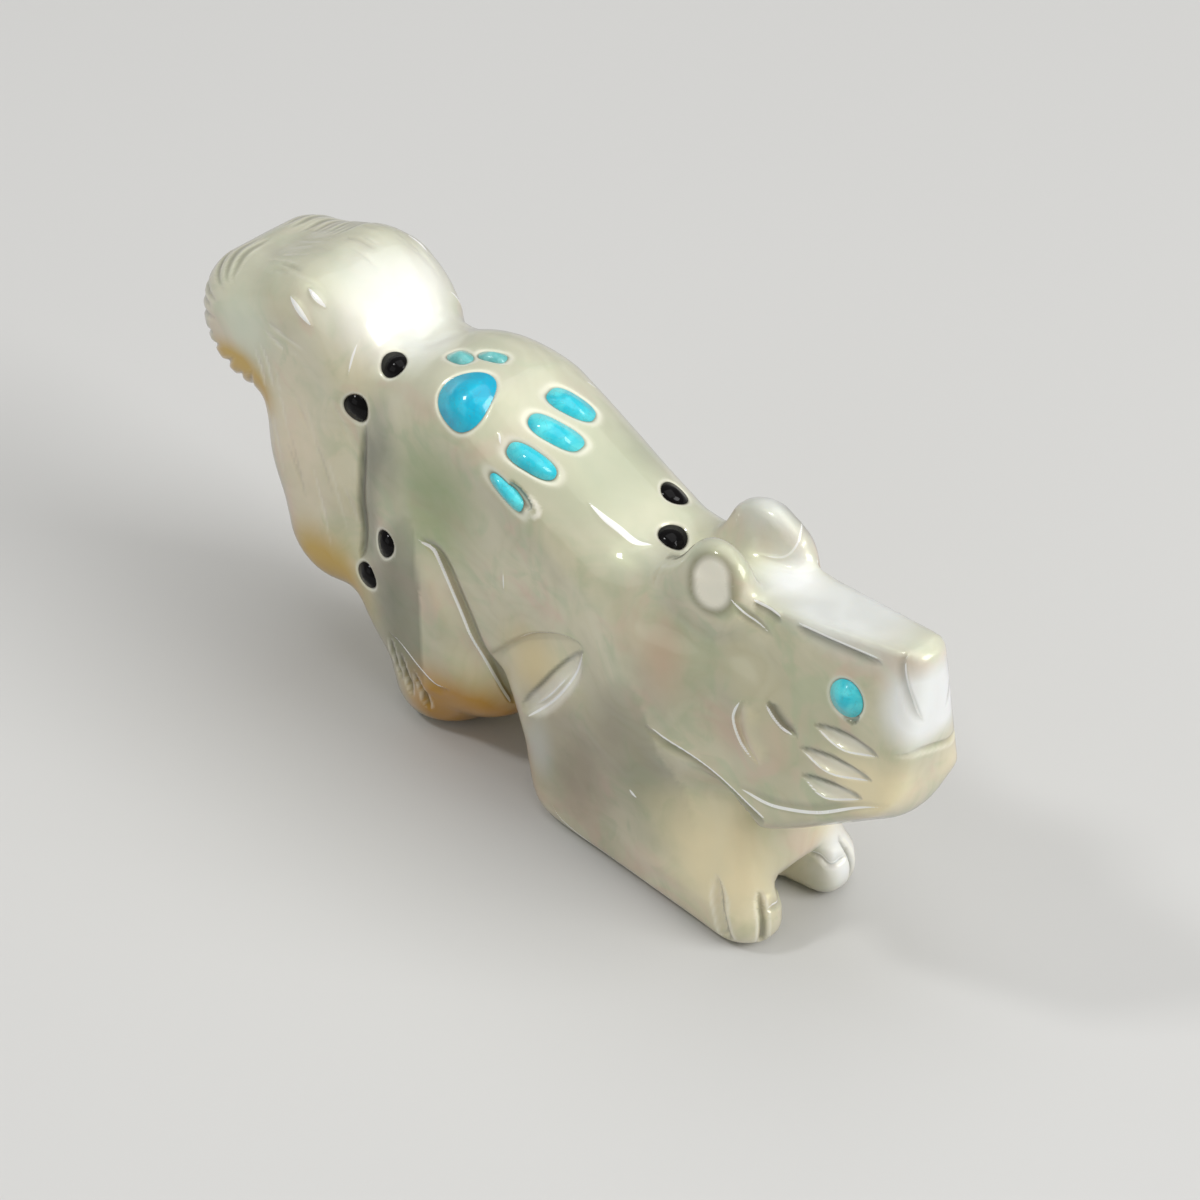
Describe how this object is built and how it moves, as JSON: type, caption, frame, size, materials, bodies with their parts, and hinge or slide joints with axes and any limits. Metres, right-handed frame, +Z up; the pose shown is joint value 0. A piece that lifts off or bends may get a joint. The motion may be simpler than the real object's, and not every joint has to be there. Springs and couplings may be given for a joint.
{
  "type": "carved squirrel fetish",
  "caption": "Squirrel carved from a slab of mother of pearl, crouching on its feet, with turquoise eyes, a turquoise bear paw print and jet dots let in.",
  "frame": {"origin": "middle of the overall box, at the height of the soles", "axes": "+X towards the nose, +Y towards the animal's left side, +Z up"},
  "size_m": [0.0612, 0.0114, 0.0303],
  "materials": {
    "shell": "polished mother of pearl, cream to grey green with soft pink patches",
    "turquoise": "polished turquoise with faint darker veins",
    "jet": "polished black jet"
  },
  "bodies": {
    "root": {"shell_body": "shell", "eye_right": "turquoise", "eye_left": "turquoise", "paw_palm": "turquoise", "paw_toe_1": "turquoise", "paw_toe_2": "turquoise", "paw_toe_3": "turquoise", "paw_toe_4": "turquoise", "paw_pad_1": "turquoise", "paw_pad_2": "turquoise", "jet_dot_1": "jet", "jet_dot_2": "jet", "jet_dot_3": "jet", "jet_dot_4": "jet", "jet_dot_5": "jet", "jet_dot_6": "jet", "jet_dot_7": "jet", "jet_dot_8": "jet"}
  },
  "joints": []
}
